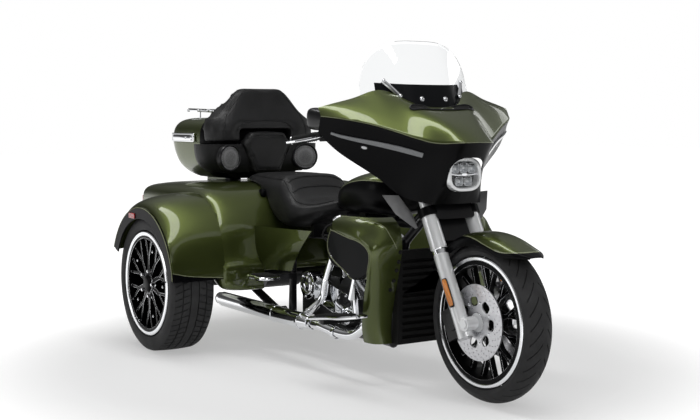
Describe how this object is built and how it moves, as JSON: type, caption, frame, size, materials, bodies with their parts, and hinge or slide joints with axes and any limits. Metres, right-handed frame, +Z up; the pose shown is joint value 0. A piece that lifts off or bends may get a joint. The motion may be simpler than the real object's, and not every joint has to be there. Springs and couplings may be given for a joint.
{
  "type": "motorized trike",
  "caption": "Three-wheeled touring motorcycle with a fork-mounted fairing, V-twin engine, arched rear fenders, trunk and a lidded luggage box behind the seats.",
  "frame": {"origin": "ground level under the middle of the overall length and width", "axes": "+X forward, +Y to the rider's left, +Z up"},
  "size_m": [2.6769, 1.5086, 1.4282],
  "materials": {
    "green_paint": "metallic gloss",
    "black_paint": "satin",
    "black_plastic": "satin",
    "chrome": "polished",
    "alloy": "polished",
    "steel": "brushed",
    "leather": "grained",
    "tyre": "matte",
    "rubber": "matte",
    "clear_screen": "clear",
    "lamp_clear": "clear",
    "lamp_red": "clear red"
  },
  "bodies": {
    "chassis": {"frame": "black_paint", "engine_case": "black_paint", "cylinders": "black_paint", "rocker_covers": "chrome", "pushrod_tubes": "chrome", "engine_covers": "chrome", "air_cleaner": "black_plastic", "exhaust_pipes": "chrome", "mufflers": "chrome", "radiator": "black_plastic", "lower_fairings": "green_paint", "fairing_liners": "black_plastic", "fuel_tank": "green_paint", "seat": "leather", "back_pad": "leather", "luggage_box": "green_paint", "speakers": "black_plastic", "rear_body": "green_paint", "rear_fenders": "green_paint", "fender_guards": "black_plastic", "red_lamps": "lamp_red", "plate_bracket": "black_paint", "side_panels": "green_paint", "rear_axle": "black_paint", "rear_calipers": "black_plastic", "footboards": "black_paint", "foot_controls": "chrome"},
    "fork": {"fork_sliders": "alloy", "fork_tubes": "chrome", "fork_clamps": "black_paint", "front_axle": "steel", "front_calipers": "black_plastic", "front_fender": "green_paint", "fairing": "green_paint", "dash": "black_plastic", "mirrors": "black_plastic", "windshield": "clear_screen", "headlamp": "lamp_clear", "signal_bars": "lamp_clear", "handlebar": "black_paint", "hand_controls": "rubber"},
    "front_wheel": {"front_tyre": "tyre", "front_rim": "black_paint", "front_discs": "steel"},
    "rear_wheel_left": {"rear_tyre_left": "tyre", "rear_rim_left": "black_paint"},
    "rear_wheel_right": {"rear_tyre_right": "tyre", "rear_rim_right": "black_paint"},
    "lid": {"luggage_lid": "green_paint", "backrest": "leather", "luggage_rack": "chrome", "lid_latch": "chrome"},
    "door": {"trunk_door": "green_paint"}
  },
  "joints": [
    {"name": "steering", "type": "hinge", "parent": "chassis", "child": "fork", "pos_m": [0.70217, 0, 0.78582], "axis": [-0.4695, 0, 0.8829], "range_deg": [-32, 32]},
    {"name": "front_wheel_spin", "type": "hinge", "parent": "fork", "child": "front_wheel", "pos_m": [1.02, 0, 0.319], "axis": [0, 1, 0], "continuous": true},
    {"name": "rear_wheel_left_spin", "type": "hinge", "parent": "chassis", "child": "rear_wheel_left", "pos_m": [-0.65, 0.62, 0.325], "axis": [0, 1, 0], "continuous": true},
    {"name": "rear_wheel_right_spin", "type": "hinge", "parent": "chassis", "child": "rear_wheel_right", "pos_m": [-0.65, -0.62, 0.325], "axis": [0, 1, 0], "continuous": true},
    {"name": "lid_hinge", "type": "hinge", "parent": "chassis", "child": "lid", "pos_m": [-1.09, 0.3056, 0.9813], "axis": [-1, 0, 0], "range_deg": [0, 80]},
    {"name": "door_hinge", "type": "hinge", "parent": "chassis", "child": "door", "pos_m": [-1.2803, 0, 0.452], "axis": [0, -1, 0], "range_deg": [0, 85]}
  ]
}
